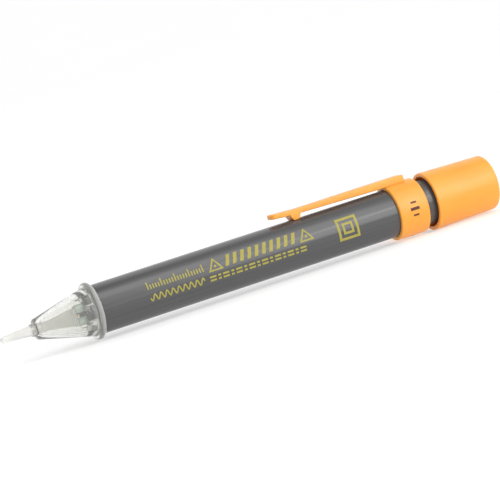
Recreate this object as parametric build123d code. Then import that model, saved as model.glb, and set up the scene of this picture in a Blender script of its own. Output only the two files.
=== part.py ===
"""Pen-shaped non contact voltage tester: a clear nose with a sensing tip, a round battery barrel,
a collar with a pocket clip, and an end cap that turns the tester on and pulls off for the cells.

The part lies along X on its cap's rim: tip towards -X, cap towards +X, clip on top (+Z).
Everything is built about the pen's own axis, with stations counted in millimetres from the tip,
and placed in the part's frame when it is written: origin under the middle, at the resting plane.
"""

from build123d import *
import os
from math import cos, radians, sin

# ---- driving dimensions, in millimetres ---------------------------------------------------------
LENGTH = 174.5  # tip to end of cap
BARREL_R = 7.9
BORE_R = 6.4  # inside of barrel and neck
NECK_R = 7.4
COLLAR_R = 9.05
CAP_MOUTH_R = 9.6
CAP_END_R = 9.05
CAP_MOUTH_BORE_R = 8.3
CAP_SLEEVE_R = 7.6  # inside of the cap where it runs on the neck
BEAD_R = 9.25  # ring at the back of the nose

# stations along the axis
NOSE_START = 10.3
CONE_START = 12.0
BEAD_START = 30.3
BARREL_START = 32.15
COLLAR_START = 137.7
SHOULDER = 139.6  # barrel steps down to its neck here, inside the collar
COLLAR_END = 148.2
CAP_START = 151.4
NECK_END = 166.4
CAP_FLOOR = 173.0  # inner face of the cap's end wall

# nose and tip
TIP_END_R = 1.0
TIP_R = 1.75
SLEEVE_R = 1.95  # short sleeve round the probe in front of the cone
CONE_FRONT_R = 3.35
CONE_BACK_R = 7.95
CAVITY_START = 13.6
CAVITY_START_R = 1.95
CAVITY_END = 27.4
SKIRT_R = 6.35  # plugs into the barrel
SKIRT_BORE_R = 5.6
SKIRT_LENGTH = 6.0
LUG_START = 27.2
LUG_END = 30.9
LUG_WIDTH = 3.4
LUG_DROP = 1.0  # how far a lug stands into the bore

# pocket clip
CLIP_WIDTH = 5.0
CLIP_TOP_R = 11.05  # height of its top above the axis, at the collar
CLIP_UNDER_R = 8.55  # underside of the arm at the collar
CLIP_TIP_TOP_R = 11.45
CLIP_TIP_T = 1.5
CLIP_START = 97.0  # free end
CLIP_END = 145.0  # end of its root on the collar
CLIP_HINGE = 139.4  # where the arm flexes
CLIP_BUMP = 105.2
CLIP_BUMP_LOW = 7.6  # feet of the bump, either side of the barrel
CLIP_BUMP_GAP = 0.12  # between the saddle of the bump and the barrel
CLIP_SEAT = 8.45  # flat in the collar under the root
CLIP_SIDE_GAP = 0.1
CLIP_PIVOT_Z = (CLIP_TOP_R + CLIP_UNDER_R) / 2
CLIP_KNUCKLE_R = (CLIP_TOP_R - CLIP_UNDER_R) / 2

# light guide, lamps and board
WEDGE_START = 14.4  # square part of the light guide
FLANGE_START = 23.9
FLANGE_T = 0.8
ANTENNA_R = 0.4
ANTENNA_END = 30.2
LED_OFFSET = 2.05  # of each lamp above or below the axis
LED_R = 1.4
LED_RIM = 0.12  # collar at the lamp's foot
LED_START = 25.0
LED_BACK = 29.2
LEAD_WIRE = 0.5
LEAD_SIDES = (-0.64, 0.64)
BOARD_START = 31.6
BOARD_END = 71.0
BOARD_WIDTH = 10.4
BOARD_T = 1.0
CHIP_START = 40.5
CHIP_LENGTH = 8.6
CHIP_PITCH = 1.27
CAPACITOR_R = 2.4
CAPACITOR_Z = -BOARD_T / 2 - CAPACITOR_R - 0.05
BUZZER_STATION = 56.8
BUZZER_R = 4.5
BUZZER_H = 3.2

# cells and their contacts
CELL_R = 5.25
CELL_CAN_R = 5.1
CELL_LENGTH = 44.5
CELLS_START = 73.5
REAR_CELL_START = CELLS_START + CELL_LENGTH
NUB_LENGTH = 0.9
STOP_START = 68.6  # plastic stop between board and cells
STOP_END = 72.4
STRIP_WIDTH = 3.0
STRIP_LOW = -6.15
STRIP_END = 163.0

# switch in the cap
KEY_WIDTH = 2.2
SPIGOT_START = 163.4
INSERT_FACE = 166.5  # front face of the insert's floor
INSERT_BACK = 168.3
SCREW_R = 1.1
SCREW_END = 172.0
RIVET_R = 0.6
RIVET_Z = -4.2
RIVET_SIDES = (-3.0, 3.0)
RIVET_ANGLE = 35.5  # of each rivet from straight down
BRIDGE_R = 5.2  # the rivets' distance from the axis
BRIDGE_BACK = 169.7
BRIDGE_ANGLE = -90.0  # where the bridge stands with the cap turned off
PEG_ANGLE = 18.0
FIT = 0.05  # gap between pieces that fit into each other
SHEET_T = 0.3  # sheet metal contacts

os.makedirs("parts", exist_ok=True)


# ---- helpers ------------------------------------------------------------------------------------
def turned(outline, rounds=()):
    """Solid turned about the pen's axis from (station, radius) points; rounds: (station, radius, blend)."""
    face = make_face(Polyline(*outline, close=True))
    for station, radius, blend in rounds:
        corner = face.vertices().sort_by_distance((station, radius, 0))[0]
        face = fillet(corner, blend)
    return revolve(face, Axis.X)


def rod(start, end, radius, y=0.0, z=0.0):
    """Round bar along the axis between two stations."""
    return Pos((start + end) / 2, y, z) * Rot(0, 90, 0) * Cylinder(radius, end - start)


def tube(start, end, outer, inner, y=0.0, z=0.0):
    return rod(start, end, outer, y, z) - rod(start - 1, end + 1, inner, y, z)


def block(start, end, y0, y1, z0, z1):
    """Box between two stations and two limits in Y and Z."""
    size = (end - start, y1 - y0, z1 - z0)
    return Pos((start + end) / 2, (y0 + y1) / 2, (z0 + z1) / 2) * Box(*size)


def rectangle(station, width, height, corner):
    """Rounded rectangle square to the axis."""
    return Pos(station, 0, 0) * (Plane.YZ * RectangleRounded(width, height, corner))


def around(shape, count, first=0.0):
    """Copies of a shape, evenly spaced about the pen's axis."""
    return [Rot(first + 360 * i / count, 0, 0) * shape for i in range(count)]


def coil(start, end, radius, wire, turns, end_radius=None):
    """Helical spring along the axis, conical where end_radius is given."""
    height = end - start - 2 * wire
    angle = 0.0
    if end_radius is not None:
        angle = degrees_of_slope(end_radius - radius, height)
    path = Helix(pitch=height / turns, height=height, radius=radius, cone_angle=angle)
    section = Plane(origin=path @ 0, z_dir=path % 0) * Circle(wire)
    spring = sweep(section, path=path, is_frenet=True)
    return Pos(start + wire, 0, 0) * Rot(0, 90, 0) * spring


def degrees_of_slope(rise, run):
    return Vector(run, rise).get_angle(Vector(1, 0)) * (1 if rise >= 0 else -1)


def write(name, *solids):
    """Places the solids in the part's frame and writes parts/name.step."""
    place = Pos(-LENGTH / 2, 0, CAP_MOUTH_R)
    pieces = [s for shape in solids for s in (place * shape).solids()]
    shape = pieces[0] if len(pieces) == 1 else Compound(children=pieces)
    export_step(shape, f"parts/{name}.step")


# ---- nose ---------------------------------------------------------------------------------------
def nose_cone():
    """Clear hollow cone with a rounded bead, a skirt that plugs into the barrel and inner lugs."""
    sleeve_end = CONE_START - 0.5
    outline = [
        (NOSE_START, TIP_R + FIT),
        (NOSE_START, SLEEVE_R),
        (sleeve_end, SLEEVE_R + 0.15),
        (sleeve_end + 0.2, CONE_FRONT_R - 0.1),
        (CONE_START, CONE_FRONT_R),
        (BEAD_START, CONE_BACK_R),
        (BEAD_START, BEAD_R),
        (BARREL_START, BEAD_R),
        (BARREL_START, SKIRT_R),
        (BARREL_START + SKIRT_LENGTH, SKIRT_R),
        (BARREL_START + SKIRT_LENGTH, SKIRT_BORE_R),
        (CAVITY_END, SKIRT_BORE_R),
        (CAVITY_START, CAVITY_START_R),
        (CAVITY_START, TIP_R + FIT),
    ]
    rounds = [
        (BEAD_START, BEAD_R, 0.85),
        (BARREL_START, BEAD_R, 0.85),
        (sleeve_end, SLEEVE_R + 0.15, 0.3),
        (sleeve_end + 0.2, CONE_FRONT_R - 0.1, 0.15),
    ]
    shell = turned(outline, rounds)
    half = LUG_WIDTH / 2
    lug = block(LUG_START, LUG_END, -half, half, SKIRT_BORE_R - LUG_DROP, SKIRT_BORE_R + 0.4)
    for piece in around(lug, 4, first=45):
        shell += piece
    return shell


def sensor_tip():
    """Milky light guide: a slim tapered probe, a square wedge inside the cone and a flange at its back."""
    outline = [
        (0, 0),
        (0, TIP_END_R - 0.05),
        (1.0, TIP_END_R),
        (NOSE_START - 0.2, TIP_R - 0.1),
        (NOSE_START + 0.6, TIP_R),
        (WEDGE_START + 0.5, TIP_R),
        (WEDGE_START + 0.5, 0),
    ]
    probe = turned(outline, [(0, TIP_END_R - 0.05, 0.8)])
    wedge = loft([rectangle(WEDGE_START, 2.3, 2.3, 0.3), rectangle(FLANGE_START, 5.2, 5.0, 0.3)])
    flange = extrude(rectangle(FLANGE_START, 7.6, 5.2, 0.4), amount=FLANGE_T)
    hollow = turned([(3.0, 0), (3.0, 0.45), (17.0, 0.45), (25.0, 2.0), (25.0, 0)])
    return probe + wedge + flange - hollow


def antenna_rod():
    """Sensing wire from the probe's hollow to the contact spring."""
    return rod(3.2, ANTENNA_END, ANTENNA_R)


def antenna_spring():
    """Contact spring round the end of the antenna, pressed against the board."""
    return coil(LED_BACK + 0.1, BOARD_START - 0.1, 0.75, 0.15, 3)


def lamp_holder():
    """Black holder between lamps and board, with side fingers, pierced for the legs and the antenna."""
    back = BOARD_START - 0.1
    finger_start = LED_BACK - 3.0
    holder = block(LED_BACK, back, -4.2, 4.2, -2.1, 2.1) + block(LED_BACK, back, -2.6, 2.6, -3.7, 3.7)
    for side in (-1, 1):
        low, high = sorted((side * 1.9, side * 2.4))
        holder += block(finger_start, LED_BACK + 0.2, low, high, -0.45, 0.45)
        z = side * LED_OFFSET
        holder -= block(LED_BACK - 1, back + 1, -1.0, 1.0, z - LEAD_WIRE, z + LEAD_WIRE)
    return holder - rod(LED_BACK - 1, back + 1, 1.05)


# ---- lamps and circuit board --------------------------------------------------------------------
def led(side):
    """Round lamp with a rim at its foot and its dome towards the tip."""
    dome = LED_START + LED_R
    outline = [
        (dome, 0),
        (dome, LED_R),
        (LED_BACK - 0.8, LED_R),
        (LED_BACK - 0.8, LED_R + LED_RIM),
        (LED_BACK, LED_R + LED_RIM),
        (LED_BACK, 0),
    ]
    body = turned(outline) + Pos(dome, 0, 0) * Sphere(LED_R)
    return Pos(0, 0, side * LED_OFFSET) * body


def led_leads():
    """Four cranked legs, the upper lamp's soldered to the board's upper face, the lower lamp's below."""
    elbow = BOARD_START + 0.8
    half = LEAD_WIRE / 2
    surface = BOARD_T / 2
    legs = []
    for y in LEAD_SIDES:
        leg = block(LED_BACK, elbow, y - half, y + half, LED_OFFSET - half, LED_OFFSET + half)
        leg += block(elbow - LEAD_WIRE, elbow, y - half, y + half, surface, LED_OFFSET + half)
        leg += block(elbow - LEAD_WIRE, elbow + 2.4, y - half, y + half, surface, surface + LEAD_WIRE)
        legs += [leg, mirror(leg, Plane.XY)]
    return legs


def circuit_board():
    half = BOARD_WIDTH / 2
    board = block(BOARD_START, BOARD_END, -half, half, -BOARD_T / 2, BOARD_T / 2)
    for station in (BOARD_START + 5.2, BOARD_END - 3.0):
        board -= Pos(station, 0, 0) * Cylinder(0.6, 2 * BOARD_T)
    return board


def logic_chip():
    """Small outline package on the upper face of the board."""
    top = BOARD_T / 2 + 1.6
    body = block(CHIP_START, CHIP_START + CHIP_LENGTH, -1.95, 1.95, BOARD_T / 2 + 0.1, top)
    body = chamfer(body.faces().sort_by(Axis.Z)[-1].edges(), 0.2)
    return body - Pos(CHIP_START + 1.0, -1.1, top) * Cylinder(0.3, 0.2)


def chip_leads():
    """Seven bent legs on each side of the chip."""
    legs = []
    first = CHIP_START + CHIP_LENGTH / 2 - 3 * CHIP_PITCH
    for i in range(7):
        low, high = first + CHIP_PITCH * i - 0.2, first + CHIP_PITCH * i + 0.2
        foot = block(low, high, 2.1, 3.0, BOARD_T / 2, BOARD_T / 2 + 0.2)
        knee = block(low, high, 1.95, 2.25, BOARD_T / 2, BOARD_T / 2 + 0.8)
        legs += [foot + knee, mirror(foot + knee, Plane.XZ)]
    return legs


def chip_resistors():
    """Ten small resistors in two rows on the lower face."""
    low = -BOARD_T / 2 - 0.5
    stations = [37.5 + 4.0 * i for i in range(5)]
    return [block(s, s + 2.0, y - 0.6, y + 0.6, low, -BOARD_T / 2) for s in stations for y in (-3.6, 3.6)]


def transistors():
    """Two small three-legged transistors between the lamps and the chip."""
    low = BOARD_T / 2
    return [block(37.0, 39.2, y - 1.4, y + 1.4, low, low + 1.0) for y in (-2.6, 2.6)]


def electrolytic_capacitor():
    """Radial capacitor lying on the lower face."""
    can = rod(57.0, 66.0, CAPACITOR_R, z=CAPACITOR_Z)
    groove = tube(64.2, 64.8, CAPACITOR_R + 0.6, CAPACITOR_R - 0.2, z=CAPACITOR_Z)
    return can - groove


def buzzer_case():
    """Round sounder case with a sound hole in its top and a hollow for the disc."""
    base = BOARD_T / 2
    case = Pos(BUZZER_STATION, 0, base + BUZZER_H / 2) * Cylinder(BUZZER_R, BUZZER_H)
    case = fillet(case.faces().sort_by(Axis.Z)[-1].edges(), 0.4)
    case -= Pos(BUZZER_STATION, 0, base + 1.5) * Cylinder(BUZZER_R - 0.6, 2.2)
    return case - Pos(BUZZER_STATION, 0, base + BUZZER_H) * Cylinder(0.8, 2.0)


def buzzer_disc():
    return Pos(BUZZER_STATION, 0, BOARD_T / 2 + 1.2) * Cylinder(BUZZER_R - 0.7, 0.25)


# ---- barrel, cells and contacts -----------------------------------------------------------------
def barrel():
    """One tube: the grip, a shoulder under the collar, and a neck with two keyways at its end."""
    outline = [
        (BARREL_START, BORE_R),
        (BARREL_START, BARREL_R),
        (SHOULDER, BARREL_R),
        (SHOULDER, NECK_R),
        (NECK_END, NECK_R),
        (NECK_END, BORE_R),
    ]
    shell = turned(outline, [(BARREL_START, BARREL_R, 0.25), (NECK_END, NECK_R, 0.25)])
    half = KEY_WIDTH / 2 + 0.1
    for side in (-1, 1):
        y0, y1 = sorted((side * 6.0, side * 8.0))
        shell -= block(NECK_END - 2.6, NECK_END + 1, y0, y1, -half, half)
    return shell


def contact_block():
    """Plastic stop between board and cells, slotted for the board's end."""
    disc = rod(STOP_START, STOP_END, BORE_R - FIT)
    half = BOARD_WIDTH / 2 + FIT
    slot = block(STOP_START - 1, BOARD_END + FIT, -half, half, -BOARD_T / 2 - FIT, BOARD_T / 2 + FIT)
    half = STRIP_WIDTH / 2 + 0.2
    groove = block(STOP_START - 1, STOP_END + 1, -half, half, -7, STRIP_LOW + 0.55)
    return disc - slot - groove


def positive_contact():
    """Sheet contact on the stop, with a dished centre for the front cell's nub."""
    plate = rod(STOP_END, STOP_END + SHEET_T, 4.2)
    dish = rod(STOP_END + SHEET_T, CELLS_START, 1.5)
    return plate + dish


def return_strip():
    """Long strip under the cells that brings the rear contact back to the board."""
    half = STRIP_WIDTH / 2
    start = STOP_START - 0.6
    strip = block(start, STRIP_END, -half, half, STRIP_LOW, STRIP_LOW + SHEET_T)
    riser = block(start, start + 0.4, -half, half, STRIP_LOW, -BOARD_T / 2)
    return strip + riser


def cell(start):
    """Cell can with its positive nub towards the tip."""
    can = rod(start + NUB_LENGTH, start + CELL_LENGTH, CELL_CAN_R)
    can = fillet(can.edges().filter_by(GeomType.CIRCLE), 0.35)
    return can + rod(start, start + NUB_LENGTH + 0.4, 1.9)


def cell_jacket(start):
    return tube(start + NUB_LENGTH + 0.4, start + CELL_LENGTH - 0.4, CELL_R, CELL_CAN_R)


# ---- collar and pocket clip ---------------------------------------------------------------------
def clip_collar():
    """Ring over the shoulder, with a seat for the clip's root on top."""
    outline = [
        (COLLAR_START, BARREL_R + FIT),
        (COLLAR_START, COLLAR_R),
        (COLLAR_END, COLLAR_R),
        (COLLAR_END, NECK_R + FIT),
        (SHOULDER, NECK_R + FIT),
        (SHOULDER, BARREL_R + FIT),
    ]
    ring = turned(outline, [(COLLAR_START, COLLAR_R, 0.45), (COLLAR_END, COLLAR_R, 0.45)])
    half = CLIP_WIDTH / 2 + CLIP_SIDE_GAP
    return ring - block(COLLAR_START - 1, CLIP_END, -half, half, CLIP_SEAT, CLIP_TOP_R)


def clip_extrusion(outline, width):
    """Prism across the pen from (station, height) points."""
    face = make_face(Polyline(*outline, close=True))
    return extrude(Plane.XZ * face, amount=width / 2, both=True)


def knuckle(radius, width):
    return Pos(CLIP_HINGE, 0, CLIP_PIVOT_Z) * Rot(90, 0, 0) * Cylinder(radius, width)


def clip_root():
    """Fixed end of the clip, let into the collar, hollowed for the arm's rounded end."""
    root = block(CLIP_HINGE, CLIP_END, -CLIP_WIDTH / 2, CLIP_WIDTH / 2, CLIP_SEAT, CLIP_TOP_R)
    root -= knuckle(CLIP_KNUCKLE_R + FIT, 2 * CLIP_WIDTH)
    corner = root.edges().filter_by(Axis.Y).sort_by_distance((CLIP_END, 0, CLIP_TOP_R))[0]
    return fillet(corner, 0.4)


def clip_arm():
    """Springy arm with a rounded hinge end, a saddle-shaped bump and a slightly lifted free end."""
    outline = [
        (CLIP_START, CLIP_TIP_TOP_R - CLIP_TIP_T),
        (CLIP_START, CLIP_TIP_TOP_R),
        (CLIP_BUMP + 2.0, CLIP_TOP_R - 0.1),
        (CLIP_HINGE, CLIP_TOP_R),
        (CLIP_HINGE, CLIP_UNDER_R),
        (119.5, 9.05),
        (CLIP_BUMP + 1.9, 9.35),
        (CLIP_BUMP + 1.2, CLIP_BUMP_LOW),
        (CLIP_BUMP - 0.9, CLIP_BUMP_LOW),
        (CLIP_BUMP - 1.9, 9.5),
    ]
    arm = clip_extrusion(outline, CLIP_WIDTH) + knuckle(CLIP_KNUCKLE_R, CLIP_WIDTH)
    for station in (CLIP_BUMP + 1.2, CLIP_BUMP - 0.9):
        edge = arm.edges().filter_by(Axis.Y).sort_by_distance((station, 0, CLIP_BUMP_LOW))[0]
        arm = fillet(edge, 0.35)
    arm = fillet(arm.edges().filter_by(Axis.Z).group_by(Axis.X)[0], 1.6)
    return arm - rod(CLIP_START, CLIP_BUMP + 4, BARREL_R + CLIP_BUMP_GAP)


# ---- cap and switch -----------------------------------------------------------------------------
def switch_insert():
    """Plug in the neck, keyed against turning: it seats the spring and carries the screw."""
    floor = rod(INSERT_FACE, INSERT_BACK, NECK_R)
    spigot = tube(SPIGOT_START, INSERT_FACE, BORE_R - 0.1, 5.5)
    key = block(SPIGOT_START + 0.7, INSERT_FACE, 6.0, NECK_R - 0.1, -KEY_WIDTH / 2, KEY_WIDTH / 2)
    body = floor + spigot + key + mirror(key, Plane.XZ)
    notch = block(SPIGOT_START - 1, INSERT_FACE, -2.0, 2.0, -8, -5)
    body = body - notch - rod(INSERT_FACE - 1, INSERT_BACK + 1, SCREW_R + 0.08)
    for y in RIVET_SIDES:
        body -= rod(INSERT_FACE - 1, INSERT_BACK + 1, RIVET_R, y=y, z=RIVET_Z)
    return body


def contact_rivets():
    """Two rivets through the insert: one from the spring, one from the wiper."""
    rivets = []
    for y in RIVET_SIDES:
        shank = rod(INSERT_FACE, INSERT_BACK, RIVET_R, y=y, z=RIVET_Z)
        head = rod(INSERT_BACK, INSERT_BACK + 0.2, 0.9, y=y, z=RIVET_Z)
        rivets.append(shank + head)
    return rivets


def spring_plate():
    """Ring contact under the spring, with a hole round the screw's head."""
    ring = tube(INSERT_FACE - SHEET_T, INSERT_FACE, 5.2, 2.4)
    return ring - block(INSERT_FACE - 1, INSERT_FACE + 1, -2.2, 2.2, -8, -4.2)


def battery_spring():
    """Conical spring: wide on its plate, narrow on the rear cell."""
    return coil(REAR_CELL_START + CELL_LENGTH, INSERT_FACE - SHEET_T, 2.7, 0.25, 3, end_radius=4.3)


def strip_wiper():
    """Leaf on the insert that slides onto the return strip."""
    half = STRIP_WIDTH / 2 - 0.3
    leaf = block(STRIP_END - 2.6, INSERT_FACE - FIT, -half, half, -5.75, -5.5)
    foot = block(INSERT_FACE - 0.25, INSERT_FACE - FIT, -half, half, -5.75, -4.4)
    return leaf + foot


def end_cap():
    """Deep cup, drafted outside, with a wide mouth, a running sleeve, a screw boss and two pegs."""
    outline = [
        (CAP_START, CAP_MOUTH_BORE_R),
        (CAP_START, CAP_MOUTH_R),
        (LENGTH, CAP_END_R),
        (LENGTH, 0),
        (CAP_FLOOR, 0),
        (CAP_FLOOR, CAP_SLEEVE_R),
        (CAP_START + 3.0, CAP_SLEEVE_R),
        (CAP_START + 3.0, CAP_MOUTH_BORE_R),
    ]
    rounds = [
        (CAP_START, CAP_MOUTH_R, 0.45),
        (CAP_START, CAP_MOUTH_BORE_R, 0.3),
        (LENGTH, CAP_END_R, 1.1),
    ]
    cup = turned(outline, rounds)
    cup += rod(INSERT_BACK + 0.1, CAP_FLOOR, 3.2)
    for turn in (-PEG_ANGLE, PEG_ANGLE):
        cup += Rot(BRIDGE_ANGLE + turn, 0, 0) * rod(BRIDGE_BACK, CAP_FLOOR, 0.8, z=BRIDGE_R)
    return cup - rod(INSERT_BACK - 1, SCREW_END + 0.2, SCREW_R + 0.02)


def rotor_bridge():
    """Quarter-ring leaf on the pegs, with two fingers that bridge the rivets when the cap is on."""
    ring = tube(BRIDGE_BACK - SHEET_T, BRIDGE_BACK, BRIDGE_R + 1.0, BRIDGE_R - 1.0)
    reach = 2 * BRIDGE_R
    rim = [(-reach * sin(radians(a)), reach * cos(radians(a))) for a in range(-140, -39, 20)]
    wedge = make_face(Polyline((0, 0), *rim, close=True))
    leaf = ring & (Pos(BRIDGE_BACK - 1, 0, 0) * extrude(Plane.YZ * wedge, amount=2))
    finger = block(INSERT_BACK + 0.35, BRIDGE_BACK - SHEET_T, -0.5, 0.5, BRIDGE_R - 0.6, BRIDGE_R + 0.6)
    for angle in (BRIDGE_ANGLE - RIVET_ANGLE, BRIDGE_ANGLE + RIVET_ANGLE):
        leaf += Rot(angle, 0, 0) * finger
    return leaf


def pivot_screw():
    """Screw through the insert into the cap's boss: the cap turns with it and can't come off the insert."""
    start = INSERT_FACE - 1.3
    head = rod(start, INSERT_FACE - FIT, 2.0)
    head = fillet(head.faces().sort_by(Axis.X)[0].edges(), 0.4)
    slot = block(start, start + 0.55, -0.25, 0.25, -3, 3)
    slot += block(start, start + 0.55, -1.4, 1.4, -0.25, 0.25)
    return head - slot + rod(INSERT_FACE - FIT, SCREW_END, SCREW_R)


# ---- write every piece --------------------------------------------------------------------------
write("nose_cone", nose_cone())
write("sensor_tip", sensor_tip())
write("antenna_rod", antenna_rod())
write("antenna_spring", antenna_spring())
write("lamp_holder", lamp_holder())
write("led_upper", led(1))
write("led_lower", led(-1))
write("led_leads", *led_leads())
write("circuit_board", circuit_board())
write("logic_chip", logic_chip())
write("chip_leads", *chip_leads())
write("chip_resistors", *chip_resistors())
write("transistors", *transistors())
write("electrolytic_capacitor", electrolytic_capacitor())
write("buzzer_case", buzzer_case())
write("buzzer_disc", buzzer_disc())
write("barrel", barrel())
write("contact_block", contact_block())
write("positive_contact", positive_contact())
write("return_strip", return_strip())
write("battery_front", cell(CELLS_START))
write("battery_front_jacket", cell_jacket(CELLS_START))
write("battery_rear", cell(REAR_CELL_START))
write("battery_rear_jacket", cell_jacket(REAR_CELL_START))
write("clip_collar", clip_collar())
write("clip_root", clip_root())
write("clip_arm", clip_arm())
write("switch_insert", switch_insert())
write("contact_rivets", *contact_rivets())
write("spring_plate", spring_plate())
write("battery_spring", battery_spring())
write("strip_wiper", strip_wiper())
write("end_cap", end_cap())
write("rotor_bridge", rotor_bridge())
write("pivot_screw", pivot_screw())
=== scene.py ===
"""Looks of the pen-shaped voltage tester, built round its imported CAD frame."""

from math import cos, pi, radians, sin, sqrt

import bmesh
import bpy
from mathutils import Matrix, Vector


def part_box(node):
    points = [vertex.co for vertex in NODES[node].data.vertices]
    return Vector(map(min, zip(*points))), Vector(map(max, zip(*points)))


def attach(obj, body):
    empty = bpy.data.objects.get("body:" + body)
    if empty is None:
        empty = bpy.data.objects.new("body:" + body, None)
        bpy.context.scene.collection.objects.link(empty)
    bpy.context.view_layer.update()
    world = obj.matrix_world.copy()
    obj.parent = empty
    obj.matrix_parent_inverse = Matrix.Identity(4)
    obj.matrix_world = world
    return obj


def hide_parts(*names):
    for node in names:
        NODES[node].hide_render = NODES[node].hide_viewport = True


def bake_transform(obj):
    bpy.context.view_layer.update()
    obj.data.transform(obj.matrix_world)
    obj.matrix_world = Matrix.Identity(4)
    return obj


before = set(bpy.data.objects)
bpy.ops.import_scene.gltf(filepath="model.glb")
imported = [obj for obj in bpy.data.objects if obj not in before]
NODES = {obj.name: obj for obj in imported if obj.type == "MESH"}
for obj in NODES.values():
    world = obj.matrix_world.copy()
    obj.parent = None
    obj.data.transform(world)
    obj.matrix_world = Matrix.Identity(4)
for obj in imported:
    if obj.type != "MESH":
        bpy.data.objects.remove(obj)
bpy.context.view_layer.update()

MM = 0.001

# ---- places taken from the frame ----------------------------------------------------------------
TIP_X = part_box("sensor_tip")[0].x
AXIS_Z = (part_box("barrel")[0].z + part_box("barrel")[1].z) / 2
BARREL_R = (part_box("barrel")[1].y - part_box("barrel")[0].y) / 2
COLLAR_R = (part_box("clip_collar")[1].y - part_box("clip_collar")[0].y) / 2
CAP_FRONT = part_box("end_cap")[0].x
CAP_R = (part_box("end_cap")[1].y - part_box("end_cap")[0].y) / 2
CAP_SLOPE = -0.55 / 23.1  # change of radius over the length of the cap, both in mm


def station(mm):
    """X of a place counted in millimetres from the sensing tip."""
    return TIP_X + mm * MM


def round_the_pen(x, angle, radius):
    """Point at an angle about the pen's axis: 0 is the clip's side, a quarter turn the -Y side."""
    return Vector((x, -radius * sin(angle), AXIS_Z + radius * cos(angle)))


# ---- camera -------------------------------------------------------------------------------------
def make_camera():
    """Long lens from low on the tip's side, rolled so that the pen climbs to the right."""
    azimuth, elevation, roll = radians(-21.73), radians(5.58), radians(-15.84)
    distance = 1.1013
    aim = Vector((0.0006, 0.0, 0.01243))
    back = Vector((sin(azimuth) * cos(elevation), -cos(azimuth) * cos(elevation), sin(elevation)))
    data = bpy.data.cameras.new("camera")
    data.sensor_width = 36
    data.lens = 249.8
    data.clip_start, data.clip_end = 0.01, 200
    camera = bpy.data.objects.new("camera", data)
    bpy.context.scene.collection.objects.link(camera)
    turn = (-back).to_track_quat("-Z", "Y").to_matrix() @ Matrix.Rotation(roll, 3, "Z")
    camera.matrix_world = Matrix.Translation(aim + back * distance) @ turn.to_4x4()
    bpy.context.scene.camera = camera


# ---- material kit -------------------------------------------------------------------------------
class Shader:
    """A Principled material, with helpers that add procedural nodes."""

    def __init__(self, name, **values):
        self.material = bpy.data.materials.new(name)
        self.material.use_nodes = True
        self.tree = self.material.node_tree
        self.bsdf = self.tree.nodes["Principled BSDF"]
        for key, value in values.items():
            self.bsdf.inputs[key.replace("_", " ")].default_value = value
        self.place = self.add("ShaderNodeTexCoord").outputs["Object"]

    def add(self, kind, **settings):
        node = self.tree.nodes.new(kind)
        for key, value in settings.items():
            setattr(node, key, value)
        return node

    def link(self, source, target):
        self.tree.links.new(source, target)

    def stretched(self, x, y, z):
        mapping = self.add("ShaderNodeMapping")
        mapping.inputs["Scale"].default_value = (x, y, z)
        self.link(self.place, mapping.inputs["Vector"])
        return mapping.outputs["Vector"]

    def noise(self, scale, detail, place=None, roughness=0.5):
        node = self.add("ShaderNodeTexNoise")
        node.inputs["Scale"].default_value = scale
        node.inputs["Detail"].default_value = detail
        node.inputs["Roughness"].default_value = roughness
        self.link(place or self.place, node.inputs["Vector"])
        return node.outputs["Fac"]

    def spread(self, value, low, high, start=0.35, end=0.65):
        """Maps start..end, by default the middle range of a noise, to low..high."""
        node = self.add("ShaderNodeMapRange")
        for key, number in (("From Min", start), ("From Max", end), ("To Min", low), ("To Max", high)):
            node.inputs[key].default_value = number
        self.link(value, node.inputs["Value"])
        return node.outputs["Result"]

    def ramp(self, value, *stops):
        node = self.add("ShaderNodeValToRGB")
        ramp = node.color_ramp
        while len(ramp.elements) < len(stops):
            ramp.elements.new(1.0)
        for element, (place, colour) in zip(ramp.elements, stops):
            element.position = place
            element.color = (*colour, 1)
        self.link(value, node.inputs["Fac"])
        return node.outputs["Color"]

    def along_pen(self):
        split = self.add("ShaderNodeSeparateXYZ")
        self.link(self.place, split.inputs["Vector"])
        return split.outputs["X"]

    def mix(self, factor, first, second):
        node = self.add("ShaderNodeMix", data_type="RGBA")
        for key, value in (("Factor", factor), ("A", first), ("B", second)):
            target = next(socket for socket in node.inputs if socket.name == key and socket.enabled)
            if isinstance(value, (int, float)):
                target.default_value = value
            elif isinstance(value, tuple):
                target.default_value = (*value, 1)
            else:
                self.link(value, target)
        return next(socket for socket in node.outputs if socket.enabled)

    def colour(self, value):
        self.link(value, self.bsdf.inputs["Base Color"])

    def rough(self, value):
        self.link(value, self.bsdf.inputs["Roughness"])

    def bump(self, height, distance, strength):
        node = self.add("ShaderNodeBump")
        node.inputs["Distance"].default_value = distance
        node.inputs["Strength"].default_value = strength
        self.link(height, node.inputs["Height"])
        self.link(node.outputs["Normal"], self.bsdf.inputs["Normal"])


def shade(colour, share):
    """The colour with each channel multiplied, and held at 1."""
    return tuple(min(1.0, c * share) for c in colour)


def moulded(name, colour, roughness):
    """Moulded plastic: faint blotches of tone, uneven gloss and a fine grain."""
    blotch, tone, gloss = 90, 0.05, 0.05
    s = Shader(name)
    s.colour(s.ramp(s.noise(blotch, 4), (0.35, shade(colour, 1 - tone)), (0.65, shade(colour, 1 + tone))))
    s.rough(s.spread(s.noise(blotch * 3, 5), roughness - gloss, roughness + gloss))
    s.bump(s.noise(2500, 3), 0.00002, 0.5)
    return s.material


def metal(name, colour, roughness):
    """Plated or rolled metal with fine brushing along X and faint tarnish."""
    s = Shader(name, Metallic=1.0)
    lines = s.noise(1.0, 4, s.stretched(400, 4000, 4000))
    tarnish = s.spread(s.noise(300, 4), 0.0, 0.35)
    s.colour(s.mix(tarnish, colour, shade(colour, 0.72)))
    s.rough(s.spread(lines, roughness - 0.07, roughness + 0.09))
    s.bump(lines, 0.000004, 0.4)
    return s.material


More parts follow.
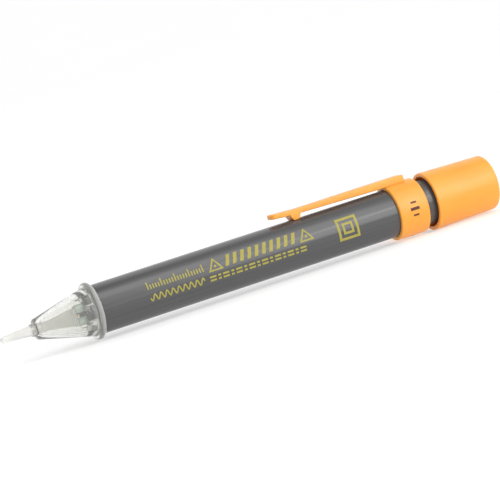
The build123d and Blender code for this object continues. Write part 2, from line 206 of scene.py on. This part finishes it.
# ---- materials ----------------------------------------------------------------------------------
ORANGE = (0.90, 0.375, 0.045)
GREY = (0.074, 0.074, 0.076)


def orange_plastic():
    """Slightly translucent orange with faint blotches."""
    s = Shader(
        "orange_plastic",
        IOR=1.5,
        Subsurface_Weight=0.35,
        Subsurface_Radius=(1.0, 0.45, 0.12),
        Subsurface_Scale=0.0016,
    )
    s.colour(s.ramp(s.noise(70, 4), (0.3, shade(ORANGE, 0.95)), (0.7, shade(ORANGE, 1.04))))
    s.rough(s.spread(s.noise(260, 5), 0.28, 0.38))
    s.bump(s.noise(3500, 3), 0.000012, 0.5)
    return s.material


def barrel_grey():
    """Dark grey with the faint lengthwise streaks that drawing out of the mould leaves."""
    s = Shader("barrel_grey", IOR=1.5)
    streaks = s.noise(1.0, 5, s.stretched(14, 1500, 1500), 0.6)
    wide = s.noise(60, 3)
    tone = s.ramp(streaks, (0.3, shade(GREY, 0.90)), (0.7, shade(GREY, 1.12)))
    s.colour(s.mix(s.spread(wide, 0.0, 0.25), tone, shade(GREY, 1.1)))
    s.rough(s.spread(streaks, 0.17, 0.24))
    s.bump(streaks, 0.000010, 0.5)
    return s.material


def clear_plastic():
    """Clear nose that lets less light through towards its back, where a whitish veil is a painted reflection
    of the bright surroundings in its bead and skirt.
    """
    s = Shader("clear_plastic", IOR=1.49)
    reflection_veil_starts, reflection_veil_ends = station(29.0), station(31.0)
    # Painted reflection: transmission falls from 0.92 to 0.7 over the back of the nose, so the pale base
    # colour shows there as a whitish veil.
    clearness = s.spread(s.along_pen(), 0.92, 0.7, reflection_veil_starts, reflection_veil_ends)
    s.link(clearness, s.bsdf.inputs["Transmission Weight"])
    flow = s.noise(1.0, 3, s.stretched(60, 500, 500))
    s.colour(s.ramp(flow, (0.3, (0.945, 0.95, 0.91)), (0.7, (0.985, 0.985, 0.955))))
    s.rough(s.spread(s.noise(400, 4), 0.03, 0.08))
    return s.material


def milky_plastic():
    """Cloudy light guide: most light scatters inside it and some passes through."""
    s = Shader(
        "milky_plastic",
        IOR=1.49,
        Transmission_Weight=0.35,
        Subsurface_Weight=0.6,
        Subsurface_Radius=(1.0, 0.95, 0.8),
        Subsurface_Scale=0.002,
    )
    s.colour(s.ramp(s.noise(300, 4), (0.3, (0.945, 0.935, 0.875)), (0.7, (0.975, 0.97, 0.925))))
    s.rough(s.spread(s.noise(900, 3), 0.3, 0.4))
    return s.material


def lamp_resin():
    """Pale green resin of the lamps."""
    s = Shader("lamp_resin", IOR=1.5, Transmission_Weight=0.6)
    s.colour(s.ramp(s.noise(500, 3), (0.3, (0.60, 0.74, 0.64)), (0.7, (0.72, 0.84, 0.74))))
    s.rough(s.spread(s.noise(900, 3), 0.12, 0.22))
    return s.material


def board_green():
    """Solder mask, paler in a grid of lines where the copper lies under it."""
    s = Shader("board_green", IOR=1.5)
    tracks = s.add("ShaderNodeTexBrick")
    tracks.inputs["Scale"].default_value = 420
    tracks.inputs["Mortar Size"].default_value = 0.03
    tracks.inputs["Color1"].default_value = (0.018, 0.115, 0.055, 1)
    tracks.inputs["Color2"].default_value = (0.014, 0.095, 0.048, 1)
    tracks.inputs["Mortar"].default_value = (0.05, 0.24, 0.10, 1)
    s.link(s.place, tracks.inputs["Vector"])
    s.colour(tracks.outputs["Color"])
    s.rough(s.spread(s.noise(2000, 4), 0.25, 0.42))
    s.bump(tracks.outputs["Fac"], 0.00003, 0.4)
    return s.material


def cell_sleeve():
    """Shrunk sleeve with a copper band at the positive end of each cell."""
    s = Shader("cell_sleeve", IOR=1.5, Coat_Weight=0.3)
    half_band = 5.5 * MM
    on_either = s.add("ShaderNodeMath", operation="MAXIMUM")
    for socket, cell in zip(on_either.inputs, ("battery_front", "battery_rear")):
        on_band = s.add("ShaderNodeMath", operation="COMPARE")
        on_band.inputs[1].default_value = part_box(cell)[0].x + half_band
        on_band.inputs[2].default_value = half_band
        s.link(s.along_pen(), on_band.inputs[0])
        s.link(on_band.outputs[0], socket)
    cloud = s.noise(200, 4)
    dark = s.ramp(cloud, (0.3, (0.012, 0.018, 0.035)), (0.7, (0.020, 0.028, 0.050)))
    copper = s.ramp(cloud, (0.3, (0.52, 0.24, 0.10)), (0.7, (0.62, 0.31, 0.14)))
    s.colour(s.mix(on_either.outputs[0], dark, copper))
    s.rough(s.spread(s.noise(700, 4), 0.22, 0.36))
    return s.material


def print_ink(name, colour):
    """Screen-printed ink, thin and slightly broken."""
    s = Shader(name)
    s.colour(s.ramp(s.noise(2600, 4), (0.3, shade(colour, 0.82)), (0.7, shade(colour, 1.08))))
    s.rough(s.spread(s.noise(1500, 3), 0.45, 0.6))
    s.bump(s.noise(4000, 3), 0.00001, 0.5)
    return s.material


def dress(material, slot, *names):
    """Gives CAD nodes a material; the slot name passed with it is not used."""
    for name in names:
        mesh = NODES[name].data
        mesh.materials.clear()
        mesh.materials.append(material)


# ---- mesh kit -----------------------------------------------------------------------------------
def make_object(name, bm, material, smooth=True):
    """Object from a bmesh, which is used up."""
    mesh = bpy.data.meshes.new(name)
    bmesh.ops.recalc_face_normals(bm, faces=bm.faces)
    bm.to_mesh(mesh)
    bm.free()
    for face in mesh.polygons:
        face.use_smooth = smooth
    piece = bpy.data.objects.new(name, mesh)
    bpy.context.scene.collection.objects.link(piece)
    mesh.materials.append(material)
    return piece


def printed(name, shapes, radius, body, material, slope=0.0):
    """Thin raised ink: flat outlines of (x, distance round the pen), wrapped on a cylinder.

    With a slope, the change of radius along x, they are wrapped on a cone.
    """
    proud, sunk, facet = 0.03 * MM, 0.04 * MM, 0.4 * MM
    bm = bmesh.new()
    for outline in shapes:
        bm.faces.new([bm.verts.new((x, distance, 0)) for x, distance in outline])
    low = min(v.co.y for v in bm.verts)
    high = max(v.co.y for v in bm.verts)
    count = int((high - low) / facet)
    for i in range(1, count + 1):
        cut = low + i * (high - low) / (count + 1)
        everything = [*bm.verts, *bm.edges, *bm.faces]
        bmesh.ops.bisect_plane(bm, geom=everything, plane_co=(0, cut, 0), plane_no=(0, 1, 0))
    back = bmesh.ops.extrude_face_region(bm, geom=list(bm.faces))
    lifted = {v for v in back["geom"] if isinstance(v, bmesh.types.BMVert)}
    front = min(v.co.x for v in bm.verts)
    for v in bm.verts:
        height = radius + slope * (v.co.x - front) + (proud if v in lifted else -sunk)
        v.co = round_the_pen(v.co.x, v.co.y / radius, height)
    piece = make_object(name, bm, material, smooth=False)
    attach(piece, body)


def ring_quads(cx, cy, outer, inner, count=48):
    """Flat ring as quads."""
    quads = []
    for i in range(count):
        a, b = (radians(360 * k / count) for k in (i, i + 1))
        quads.append([
            (cx + inner * cos(a), cy + inner * sin(a)),
            (cx + outer * cos(a), cy + outer * sin(a)),
            (cx + outer * cos(b), cy + outer * sin(b)),
            (cx + inner * cos(b), cy + inner * sin(b)),
        ])
    return quads


# ---- pocket clip --------------------------------------------------------------------------------
# Stations, heights above the axis and sizes, in mm.
CLIP_START = 97.0
CLIP_BUMP = 105.2
CLIP_HINGE = 139.4
CLIP_END = 145.0
CLIP_SADDLE_R = 8.02  # underside of the bump, round the barrel
CLIP_HALF_WIDTH = 2.5
CLIP_END_R = 1.6  # rounding of the free end, seen from above
CLIP_LIP_R = 0.4  # rounding of both ends, seen from the side
CLIP_CORNER_R = 0.32
CLIP_TOP = [(CLIP_START, 11.45), (CLIP_BUMP + 2.0, 10.95), (CLIP_HINGE, 11.05), (CLIP_END, 11.05)]
CLIP_UNDERSIDE = [
    (CLIP_START, 9.95),
    (CLIP_BUMP - 1.9, 9.5), (CLIP_BUMP - 1.0, 7.85), (CLIP_BUMP - 0.75, 7.62),
    (CLIP_BUMP + 1.05, 7.62), (CLIP_BUMP + 1.3, 7.85), (CLIP_BUMP + 1.9, 9.35),
    (119.5, 9.05), (CLIP_HINGE, 8.56), (CLIP_END, 8.47),
]


def chain_value(points, x):
    """Straight-line interpolation through (x, value) points."""
    for (xa, va), (xb, vb) in zip(points, points[1:]):
        if x <= xb:
            return va + (vb - va) * max(0.0, (x - xa) / (xb - xa))
    return points[-1][1]


def arc_point(cy, cz, r, degrees):
    return (cy + r * cos(radians(degrees)), cz + r * sin(radians(degrees)))


def rounding(r, distance):
    """How far a rounded corner of radius r has pulled in, at a distance from its end."""
    if distance >= r:
        return 0.0
    return r - sqrt(max(0.0, r ** 2 - (r - distance) ** 2))


def clip_stations():
    """Where the clip's sections lie: close together at its ends and at the bump."""
    fine, coarse = 0.1, 0.6
    places = {CLIP_END}
    places.update(x for x, _ in CLIP_UNDERSIDE)
    at = CLIP_START
    while at < CLIP_END:
        places.add(round(at, 3))
        curved = at < CLIP_START + 1.8 or abs(at - CLIP_BUMP) < 2.2 or at > CLIP_END - 0.6
        at += fine if curved else coarse
    return sorted(places)


def clip_sections():
    """Sections of the clip along the pen: x, half width, underside and top."""
    sections = []
    for x in clip_stations():
        half = CLIP_HALF_WIDTH - rounding(CLIP_END_R, x - CLIP_START)
        pinch = rounding(CLIP_LIP_R, x - CLIP_START)
        high = chain_value(CLIP_TOP, x) - rounding(CLIP_LIP_R, CLIP_END - x) - pinch
        low = chain_value(CLIP_UNDERSIDE, x) + pinch
        sections.append((x, half, low, high))
    return sections


def clip_outline(half, low, high):
    """Rounded rectangle of (y, z), its underside in ten steps so that it can follow the barrel."""
    corner_steps, underside_steps = 4, 10
    r = min(CLIP_CORNER_R, (high - low) / 2.05, half / 2.05)
    corners = ((half - r, high - r), (-half + r, high - r), (-half + r, low + r), (half - r, low + r))
    outline = []
    for i, (cy, cz) in enumerate(corners):
        outline += [arc_point(cy, cz, r, 90 * (i + k / corner_steps)) for k in range(corner_steps + 1)]
        if i == 2:
            outline += [((half - r) * (2 * k / underside_steps - 1), low) for k in range(1, underside_steps)]
    return outline


def pocket_clip(material):
    """One springy moulding: root on the collar, long arm, bump and lifted rounded end."""
    bm = bmesh.new()
    loops = []
    for x, half, low, high in clip_sections():
        loop = []
        for y, z in clip_outline(half, low, high):
            z = max(z, sqrt(max(0.0, CLIP_SADDLE_R ** 2 - y ** 2)))
            loop.append(bm.verts.new((station(x), y * MM, AXIS_Z + z * MM)))
        loops.append(loop)
    count = len(loops[0])
    for first, second in zip(loops, loops[1:]):
        for i in range(count):
            j = (i + 1) % count
            bm.faces.new((first[i], first[j], second[j], second[i]))
    bm.faces.new(loops[0])
    bm.faces.new(loops[-1])
    piece = make_object("pocket_clip", bm, material)
    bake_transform(piece)
    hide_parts("clip_arm", "clip_root")


# ---- printed marks ------------------------------------------------------------------------------
def block(x0, x1, r0, r1):
    """Plain rectangle, all four numbers in mm."""
    return [(station(x), r * MM) for x, r in ((x0, r0), (x1, r0), (x1, r1), (x0, r1))]


def square_ring(cx, cr, side, stroke):
    """Square outline as four blocks, in mm."""
    out, inner = side / 2, side / 2 - stroke
    return [
        block(cx - out, cx + out, cr - out, cr - inner),
        block(cx - out, cx + out, cr + inner, cr + out),
        block(cx - out, cx - inner, cr - inner, cr + inner),
        block(cx + inner, cx + out, cr - inner, cr + inner),
    ]


def wave(start, end, middle, swing, period, stroke):
    """Sine line drawn as a chain of short slanted quads, in mm."""
    def at(x):
        turn = 2 * pi * (x - start) / period
        across = Vector((-swing * 2 * pi / period * cos(turn), 1)).normalized() * stroke / 2
        centre = Vector((x, middle + swing * sin(turn)))
        return [(station(p.x), p.y * MM) for p in (centre - across, centre + across)]

    steps_a_period = 16
    count = round((end - start) / period * steps_a_period)
    edges = [at(start + (end - start) * i / count) for i in range(count + 1)]
    return [[a[0], b[0], b[1], a[1]] for a, b in zip(edges, edges[1:])]


def triangle_ring(x0, x1, apex_at, base_at, stroke):
    """Triangle outline and a dot at its middle, in mm."""
    middle, third = (x0 + x1) / 2, base_at - (base_at - apex_at) / 3
    dot_r, pinhole_r = 0.42, 0.01
    outer = [Vector((x0, base_at)), Vector((x1, base_at)), Vector((middle, apex_at))]
    centre = Vector((middle, third))
    height = base_at - third
    inner = [centre + (p - centre) * (1 - stroke / height) for p in outer]
    shapes = []
    for i in range(3):
        j = (i + 1) % 3
        corners = (outer[i], outer[j], inner[j], inner[i])
        shapes.append([(station(p.x), p.y * MM) for p in corners])
    return shapes + ring_quads(station(middle), third * MM, dot_r * MM, pinhole_r * MM, 12)


def rating_scale():
    """Ticks that stand on a common foot, every fifth one longer, in mm."""
    start, pitch, count = 48.2, 0.96, 21
    thickness, foot = 0.45, 10.75
    ticks = []
    for i in range(count):
        x = start + i * pitch
        length = 2.5 if i % 5 == 0 else 1.5
        ticks.append(block(x, x + thickness, foot - length, foot))
    return ticks


def caution_hatch():
    """Slanted bars between the two triangles, in mm."""
    start, pitch, count = 75.3, 2.6, 10
    thickness, slant, top, foot = 1.25, 1.5, 7.6, 11.2
    bars = []
    for i in range(count):
        x = start + i * pitch
        corners = ((x, foot), (x + thickness, foot), (x + thickness + slant, top), (x + slant, top))
        bars.append([(station(along), round_by * MM) for along, round_by in corners])
    return bars


def caution_dashes():
    """Two rows of dashes, long and short in turn, in mm."""
    at, gap, count = 69.2, 0.7, 15
    rows = ((12.85, 13.45), (13.95, 14.55))
    dashes = []
    for i in range(count):
        length = (2.2, 1.0)[i % 2]
        dashes += [block(at, at + length, top, foot) for top, foot in rows]
        at += length + gap
    return dashes


def double_square():
    """One square outline inside another, in mm."""
    centre = (119.2, 11.7)
    return square_ring(*centre, 7.4, 0.85) + square_ring(*centre, 3.7, 0.75)


def barrel_marks(ink):
    """Generic marks where a tester carries its ratings."""
    marks = {
        "rating_scale": rating_scale(),
        "rating_wave": wave(48.4, 67.3, 13.55, 0.95, 2.1, 0.45),
        "caution_hatch": caution_hatch(),
        "caution_triangle_front": triangle_ring(69.4, 74.6, 7.2, 11.6, 0.5),
        "caution_triangle_rear": triangle_ring(101.8, 107.0, 7.2, 11.6, 0.5),
        "caution_dashes": caution_dashes(),
        "double_square": double_square(),
    }
    for name, shapes in marks.items():
        printed(name, shapes, BARREL_R, "housing", ink)


def switch_marks(ink):
    """On the collar a bar between two ticks for on and a ring for off, and on the cap the pointer to them."""
    on_at, off_at = (radians(turn) * COLLAR_R / MM for turn in (90, 180))
    line = [block(141.5, 144.7, on_at - 0.48, on_at + 0.48)]
    for side in (-2.1, 2.1):
        line.append(block(142.1, 144.1, on_at + side - 0.3, on_at + side + 0.3))
    printed("on_mark", line, COLLAR_R, "housing", ink)
    circle = ring_quads(station(143.1), off_at * MM, 1.5 * MM, 0.95 * MM)
    printed("off_mark", circle, COLLAR_R, "housing", ink)
    apex, base, half_base = 153.1, 156.4, 1.1
    bottom = pi * CAP_R / MM
    corners = ((apex, bottom), (base, bottom + half_base), (base, bottom - half_base))
    arrow = [(station(x), r * MM) for x, r in corners]
    at_apex = CAP_R + CAP_SLOPE * (station(apex) - CAP_FRONT)
    printed("cap_pointer", [arrow], at_apex, "cap", ink, CAP_SLOPE)


# ---- lights and floor ---------------------------------------------------------------------------
WORLD_LEVEL = 1.05
WORLD_TIPWARD = 0.5  # share of that level that comes from the tip's side
STRIP_AT = 102  # degrees round the pen's axis from -Y upward
STRIP_HALF = 12  # degrees
STRIP_LEVEL = 0.45
FLOOR_GLOW = 0.44


def softbox(name, place, target, size, power):
    data = bpy.data.lights.new(name, "AREA")
    data.shape = "RECTANGLE"
    data.size, data.size_y = size
    data.energy = power
    light = bpy.data.objects.new(name, data)
    bpy.context.scene.collection.objects.link(light)
    light.location = place
    light.rotation_euler = (Vector(target) - Vector(place)).to_track_quat("-Z", "Y").to_euler()


def panel_place(elevation, azimuth, distance):
    """Place at a turn about the pen's axis from -Y upward, swung towards the cap."""
    lift, swing = radians(elevation), radians(azimuth)
    return Vector((sin(swing), -cos(swing) * cos(lift), cos(swing) * sin(lift))) * distance


def world_light():
    """White surroundings, dimmer from the tip's side and with a darker strip overhead, along the pen."""
    world = bpy.data.worlds.new("studio")
    bpy.context.scene.world = world
    world.use_nodes = True
    tree = world.node_tree
    background = tree.nodes["Background"]
    background.inputs["Color"].default_value = (1, 1, 1, 1)

    def add(kind, *inputs, **settings):
        node = tree.nodes.new(kind)
        for key, value in settings.items():
            setattr(node, key, value)
        for socket, value in zip(node.inputs, inputs):
            if isinstance(value, (int, float)):
                socket.default_value = value
            else:
                tree.links.new(value, socket)
        return node.outputs[0]

    direction = tree.nodes.new("ShaderNodeTexCoord").outputs["Generated"]
    split = tree.nodes.new("ShaderNodeSeparateXYZ")
    tree.links.new(direction, split.inputs[0])
    x, y, z = split.outputs
    dimmest, full = -0.95, -0.6
    tipward = add("ShaderNodeMapRange", x, dimmest, full, WORLD_TIPWARD, 1.0, clamp=True)
    towards_front = add("ShaderNodeMath", y, -1.0, operation="MULTIPLY")
    lift = add("ShaderNodeMath", z, towards_front, operation="ARCTAN2")
    off_strip = add("ShaderNodeMath", lift, radians(STRIP_AT), operation="SUBTRACT")
    off_strip = add("ShaderNodeMath", off_strip, operation="ABSOLUTE")
    edge_starts, edge_ends = (radians(STRIP_HALF) * share for share in (0.6, 1.4))
    strip = add("ShaderNodeMapRange", off_strip, edge_starts, edge_ends, STRIP_LEVEL, 1.0, clamp=True)
    level = add("ShaderNodeMath", tipward, strip, operation="MULTIPLY")
    level = add("ShaderNodeMath", level, WORLD_LEVEL, operation="MULTIPLY")
    tree.links.new(level, background.inputs["Strength"])


def white_floor():
    """Matt floor that glows a little, so that it runs into the white surroundings."""
    bm = bmesh.new()
    bmesh.ops.create_circle(bm, cap_ends=True, cap_tris=True, segments=96, radius=80)
    s = Shader(
        "floor_paint",
        Specular_IOR_Level=0.1,
        Emission_Color=(1, 1, 1, 1),
        Emission_Strength=FLOOR_GLOW,
    )
    s.colour(s.ramp(s.noise(8, 3), (0.3, (0.58, 0.58, 0.58)), (0.7, (0.60, 0.60, 0.60))))
    s.rough(s.spread(s.noise(60, 3), 0.85, 0.95))
    floor = make_object("floor", bm, s.material, smooth=False)


def studio():
    world_light()
    softbox("low_panel", (0.30, -0.49, 0.15), (0.08, 0, 0.01), (0.24, 0.32), 0.75)
    softbox("high_panel", panel_place(52, 21.6, 1.2), (0, 0, 0.01), (0.35, 1.1), 3.0)
    white_floor()
    bpy.context.scene.view_settings.view_transform = "Standard"


# ---- the whole tester ---------------------------------------------------------------------------
make_camera()
studio()

orange = orange_plastic()
black = moulded("black_plastic", (0.022, 0.022, 0.024), 0.42)
steel = metal("plated_steel", (0.66, 0.66, 0.64), 0.24)
brass = metal("contact_brass", (0.70, 0.57, 0.33), 0.27)

dress(clear_plastic(), "clear_plastic", "nose_cone")
dress(milky_plastic(), "milky_plastic", "sensor_tip")
dress(barrel_grey(), "grey_plastic", "barrel")
dress(orange, "orange_plastic", "clip_collar", "end_cap", "clip_root", "clip_arm")
dress(lamp_resin(), "lamp_lens", "led_upper", "led_lower")
dress(board_green(), "board_green", "circuit_board")
dress(black, "black_plastic", "logic_chip", "transistors", "chip_resistors", "buzzer_case",
      "contact_block", "switch_insert", "lamp_holder")
dress(steel, "plated_steel", "antenna_spring", "led_leads", "chip_leads", "positive_contact", "return_strip",
      "spring_plate", "battery_spring", "pivot_screw")
dress(brass, "contact_brass", "antenna_rod", "buzzer_disc", "contact_rivets", "strip_wiper", "rotor_bridge")
dress(metal("cell_can", (0.70, 0.70, 0.68), 0.2), "cell_can", "battery_front", "battery_rear")
dress(cell_sleeve(), "cell_jacket", "battery_front_jacket", "battery_rear_jacket")
dress(metal("capacitor_can", (0.60, 0.62, 0.66), 0.3), "capacitor_can", "electrolytic_capacitor")

pocket_clip(orange)
barrel_marks(print_ink("yellow_ink", (0.38, 0.33, 0.055)))
switch_marks(print_ink("brown_ink", (0.085, 0.02, 0.012)))
